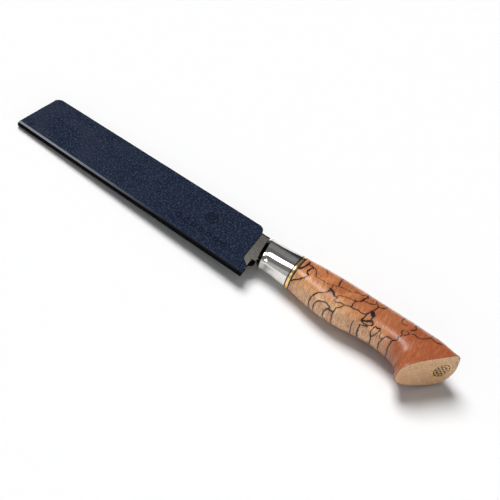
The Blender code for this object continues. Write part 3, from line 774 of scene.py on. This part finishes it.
def flecked_sheet(name, darker=0.0):
    """The guard's sheet: navy with fine grey-blue flecks, black cut edges, painted shade on the fold's side
    and a painted highlight along the fold.
    """
    s = Surface(name, Specular_IOR_Level=0.18)
    place = s.place()
    coarse = s.noise(place, 0.85, 4.0, 0.72)
    fine = s.noise(place, 2.6, 3.0, 0.7)
    flecks = s.math("ADD", s.math("MULTIPLY", coarse, 0.62), s.math("MULTIPLY", fine, 0.38))
    color = s.ramp(flecks, (0.42, rgb(1, 4, 28)), (0.485, rgb(7, 15, 42)), (0.53, rgb(23, 35, 56)),
                   (0.58, rgb(56, 74, 88)), (0.66, rgb(90, 106, 112)))
    along = s.part(place, 0)
    cloudy = s.noise(place, 0.05, 3.0, 0.6)
    grey = s.math("MULTIPLY", s.fade(along, -60, -180, 0.15, 0.6), s.fade(cloudy, 0.35, 0.7))
    color = s.mix(grey, color, rgb(44, 48, 64))
    # Partly painted shade: below the top face the sheet goes near black. This is the cut edges' own black
    # core, and the fold's navy side painted dark as if in shade.
    height = s.part(place, 2)
    color = s.mix(s.fade(s.math("ABSOLUTE", height), 2.38, 2.25), color, rgb(3, 4, 6))
    from_fold = s.inward(place, FOLD_TIP, Vector((-FOLD.y, FOLD.x)))
    tip_side = Vector((GUARD_SPINE_X[0], GUARD_SPINE_Y)) - FOLD_TIP
    from_tip = s.inward(place, FOLD_TIP, Vector((tip_side.y, -tip_side.x)))
    from_spine = s.math("SUBTRACT", GUARD_SPINE_Y / MM, s.part(place, 1))
    rim = s.fade(s.math("MINIMUM", from_tip, from_spine), 0.75, 0.35)
    color = s.mix(rim, color, rgb(4, 7, 8))
    # Painted highlight: a light grey band on the fold's upper rounding stands in for a light's reflection. It
    # is strongest at the tip and fades towards the heel.
    painted_fold_highlight = s.math("MULTIPLY", s.fade(from_fold, 1.75, 1.5), s.fade(height, 1.7, 2.0))
    painted_fold_highlight = s.math("MULTIPLY", painted_fold_highlight, s.fade(along, -60, -175, 0.0, 0.95))
    color = s.mix(painted_fold_highlight, color, rgb(150, 152, 160))
    color = s.mix(darker, color, rgb(6, 9, 22))
    s.put(s.shader, "Base Color", color)
    s.put(s.shader, "Roughness", s.fade(coarse, 0.3, 0.7, 0.38, 0.55))
    s.bump(fine, 0.35, 0.05 * MM)
    return s.material


def brushed_steel():
    """The blade: satin, with fine lines across it, and painted shade along the ricasso's spine and in the
    choil.
    """
    s = Surface("satin_steel", Metallic=1.0, Anisotropic=0.3)
    lines = s.noise(s.place((14.0, 0.3, 1.0)), 1.0, 2.0, 0.6)
    place = s.place()
    x, y = s.part(place, 0), s.part(place, 1)
    cloud = s.noise(place, 0.12, 2.0)
    color = s.mix(s.fade(cloud, 0.3, 0.7, 0.0, 0.5), rgb(196, 190, 180), rgb(176, 170, 160))
    # Painted shade: the choil and the ricasso's spine near the heel go near black for the shade and dark
    # reflection they show. This is not a colour of the steel.
    choil = s.math("MULTIPLY", s.fade(y, -10.4, -11.4), s.fade(x, -5.2, -4.4))
    spine = s.math("MULTIPLY", s.fade(y, 11.2, 12.0), s.fade(x, -60, -40))
    color = s.mix(s.math("MAXIMUM", choil, spine), color, rgb(14, 14, 15))
    s.put(s.shader, "Base Color", color)
    s.put(s.shader, "Roughness", s.fade(lines, 0.3, 0.7, 0.22, 0.32))
    s.bump(lines, 0.015, 0.01 * MM)
    return s.material


def mirror_steel():
    """The bolster: buffed bright, with faint wipe marks, and a painted dark reflection on the bevel round its
    front.
    """
    s = Surface("mirror_steel", Metallic=1.0)
    marks = s.noise(s.place((0.4, 2.5, 2.5)), 1.0, 3.0)
    place = s.place()
    cloud = s.noise(place, 0.3, 2.0)
    color = s.mix(s.fade(cloud, 0.3, 0.7), rgb(232, 230, 226), rgb(222, 219, 214))
    upright = s.math("ADD", s.part(place, 0), s.math("MULTIPLY", s.part(place, 1), SHOULDER_SLANT))
    behind_front = s.math("SUBTRACT", upright, SHOULDER_X / MM)
    # Painted reflection: the bevel round the bolster's front is coloured near black for the dark it mirrors.
    # This is not a colour of the steel.
    dark = s.fade(behind_front, 3.0, 2.7)
    s.put(s.shader, "Base Color", s.mix(dark, color, rgb(20, 20, 22)))
    s.put(s.shader, "Roughness", s.fade(marks, 0.3, 0.7, 0.035, 0.09))
    return s.material


def brass(name="brass", roughness=0.22, metallic=1.0):
    """Polished brass with a faint grain; less metallic, it stays bright where nothing bright is reflected."""
    s = Surface(name, Metallic=metallic)
    cloud = s.noise(s.place(), 0.5, 3.0)
    lines = s.noise(s.place((3.0, 0.2, 0.2)), 1.0, 2.0)
    s.put(s.shader, "Base Color", s.mix(s.fade(cloud, 0.3, 0.7), rgb(252, 214, 146), rgb(242, 194, 118)))
    s.put(s.shader, "Roughness", s.fade(lines, 0.3, 0.7, roughness * 0.9, roughness * 1.3))
    s.bump(lines, 0.04, 0.02 * MM)
    return s.material


def plain(name, light, dark, scale, low, high, strength=0.1, **values):
    """A finish mottled between two colours and two roughnesses."""
    s = Surface(name, **values)
    spots = s.noise(s.place(), scale, 4.0, 0.6)
    s.put(s.shader, "Base Color", s.mix(s.fade(spots, 0.35, 0.65), dark, light))
    s.put(s.shader, "Roughness", s.fade(spots, 0.3, 0.7, low, high))
    s.bump(spots, strength, 0.04 * MM)
    return s.material


def repaint(node, surface):
    """A CAD node keeps its mesh and gets a better material."""
    materials = frame["nodes"][node].data.materials
    materials.clear()
    materials.append(surface)


# ---- the pieces ---------------------------------------------------------------------------------------
def build_pieces():
    liner = plain("black_liner", rgb(26, 26, 28), rgb(12, 12, 13), 1.5, 0.28, 0.42, Coat_Weight=0.4)
    gold = brass()
    handle = handle_mesh()
    mark_zone_lines(handle)
    bore = plain("bare_bore", rgb(140, 104, 70), rgb(92, 62, 40), 1.2, 0.6, 0.8)
    dress(handle, "knife", ["handle_block"], "spalted_wood", spalted_wood(), end_grain(), bore)
    dress(bolster_mesh(), "knife", ["bolster"], "mirror_steel", mirror_steel())
    x = BOLSTER_END
    for name, node, thickness, slot, surface in (
            ("liner_front", "spacer_black_front", LINER, "black_liner", liner),
            ("brass_ring", "spacer_brass", BRASS, "brass", gold),
            ("liner_rear", "spacer_black_rear", LINER, "black_liner", liner)):
        dress(ring_mesh(name, x, thickness), "knife", [node], slot, surface)
        x += thickness
    dress(blade_mesh(), "knife", ["blade"], "blade_steel", brushed_steel())
    # Near black with little reflection: the cut edges' black core, and painted shade on the fold's outer
    # side.
    edge = plain("sheet_edge_black_and_painted_shade", rgb(9, 11, 12), rgb(3, 4, 5), 1.2, 0.6, 0.8, Specular_IOR_Level=0.04)
    dress(guard_mesh(), "guard", ["guard_shell"], "flecked_sheet", flecked_sheet("flecked_sheet"),
          flecked_sheet("pressed_sheet", 0.8), edge)

    felt = plain("black_felt", rgb(34, 34, 38), rgb(12, 12, 14), 3.5, 0.9, 1.0, 0.9, Sheen_Weight=0.4)
    resin = plain("mosaic_resin", rgb(120, 60, 42), rgb(66, 28, 20), 1.4, 0.2, 0.35, Coat_Weight=0.6)
    steel = plain("plain_steel", rgb(170, 168, 164), rgb(130, 128, 124), 2.0, 0.3, 0.5, Metallic=1.0)
    rods = brass("mosaic_brass", 0.3, 0.5)
    for node in frame["nodes"]:
        if node.startswith("guard_felt"):
            repaint(node, felt)
        elif node.startswith("medallion_rod"):
            repaint(node, rods)
        elif node in ("tang_washer", "tang_nut"):
            repaint(node, steel)
    repaint("medallion_tube", rods)
    repaint("medallion_resin", resin)


# ---- floor, light and camera --------------------------------------------------------------------------
def floor():
    half, z = 6.0, -0.4 * MM
    mesh = bpy.data.meshes.new("floor")
    mesh.from_pydata([(-half, -half, z), (half, -half, z), (half, half, z), (-half, half, z)], [],
                     [(0, 1, 2, 3)])
    item = bpy.data.objects.new("floor", mesh)
    bpy.context.scene.collection.objects.link(item)
    s = Surface("pale_floor", Base_Color=(0.9, 0.9, 0.9), Roughness=0.9, Specular_IOR_Level=0.1)
    mesh.materials.append(s.material)


def area_light(name, place, size, power):
    """A rectangular light that faces the origin."""
    data = bpy.data.lights.new(name, "AREA")
    data.shape = "RECTANGLE"
    data.size, data.size_y = size
    data.energy = power
    item = bpy.data.objects.new(name, data)
    bpy.context.scene.collection.objects.link(item)
    item.location = place
    item.rotation_mode = "QUATERNION"
    item.rotation_quaternion = (-Vector(place)).to_track_quat("-Z", "Y")
    return item


def world():
    """A surround the camera sees as plain and pale. Polished steel shows its dark band above the horizon
    on the spine's side, and the grey of the other side, which is lighter near the floor."""
    made = bpy.data.worlds.new("studio")
    bpy.context.scene.world = made
    made.use_nodes = True
    tree = made.node_tree
    new, link = tree.nodes.new, tree.links.new
    direction = new("ShaderNodeSeparateXYZ")
    link(new("ShaderNodeTexCoord").outputs["Generated"], direction.inputs[0])
    bands = new("ShaderNodeValToRGB")
    link(direction.outputs["Z"], bands.inputs[0])
    levels = ((0.0, 0.4), (0.04, 0.03), (0.45, 0.05), (0.56, 0.22), (0.7, 0.26), (0.78, 0.14), (1.0, 0.2))
    blue = 1.04
    elements = bands.color_ramp.elements
    while len(elements) < len(levels):
        elements.new(0.5)
    for element, (position, level) in zip(elements, levels):
        element.position = position
        element.color = (level, level, level * blue, 1.0)
    side = new("ShaderNodeMapRange")
    side.interpolation_type = "SMOOTHSTEP"
    link(direction.outputs["Y"], side.inputs[0])
    side.inputs[1].default_value, side.inputs[2].default_value = -0.1, 0.15
    height = new("ShaderNodeMapRange")
    link(direction.outputs["Z"], height.inputs[0])
    for k, value in enumerate((0.5, 0.66, 0.5, 0.18), 1):
        height.inputs[k].default_value = value
    front = new("ShaderNodeMix")
    front.data_type = "RGBA"
    link(height.outputs[0], front.inputs[6])
    link(side.outputs[0], front.inputs[0])
    link(bands.outputs[0], front.inputs[7])
    seen = new("ShaderNodeMix")
    seen.data_type = "RGBA"
    seen.inputs[7].default_value = (0.93, 0.93, 0.93, 1.0)
    link(new("ShaderNodeLightPath").outputs["Is Camera Ray"], seen.inputs[0])
    link(front.outputs[2], seen.inputs[6])
    link(seen.outputs[2], tree.nodes["Background"].inputs["Color"])


def lights():
    """A broad key light for the shading and shadows, and two softboxes that only reflections show."""
    sun = bpy.data.lights.new("key", "SUN")
    sun.energy = 3.32
    sun.angle = radians(32)
    key = bpy.data.objects.new("key", sun)
    bpy.context.scene.collection.objects.link(key)
    key.visible_glossy = False
    key.rotation_mode = "QUATERNION"
    key.rotation_quaternion = Vector((0.58, -0.3, -1.0)).to_track_quat("-Z", "Y")
    for name, place, size, power in (("front_softbox", (-0.32, -0.98, 0.86), (0.3, 0.42), 1.6),
                                     ("top_softbox", (-0.56, 0.08, 1.06), (0.4, 0.78), 6.0)):
        area_light(name, place, size, power).visible_diffuse = False


def camera():
    """The photograph's view: from the belly's side and above, rolled so that the knife runs downhill."""
    azimuth, elevation, roll = radians(19.154), radians(48.446), radians(17.773)
    aim = Vector((-10.30, -4.43, 0.0)) * MM
    distance = 1.8179
    back = Vector((sin(azimuth) * cos(elevation), -cos(azimuth) * cos(elevation), sin(elevation)))
    level = Vector((cos(azimuth), sin(azimuth), 0.0))
    upright = back.cross(level)
    right = level * cos(roll) + upright * sin(roll)
    up = upright * cos(roll) - level * sin(roll)
    turn = Matrix((right, up, back)).transposed().to_4x4()
    data = bpy.data.cameras.new("camera")
    data.lens = 198.58
    item = bpy.data.objects.new("camera", data)
    bpy.context.scene.collection.objects.link(item)
    item.matrix_world = KNIFE @ Matrix.Translation(aim + back * distance) @ turn
    bpy.context.scene.camera = item


build_pieces()
floor()
world()
lights()
camera()
bpy.context.scene.view_settings.view_transform = "Standard"
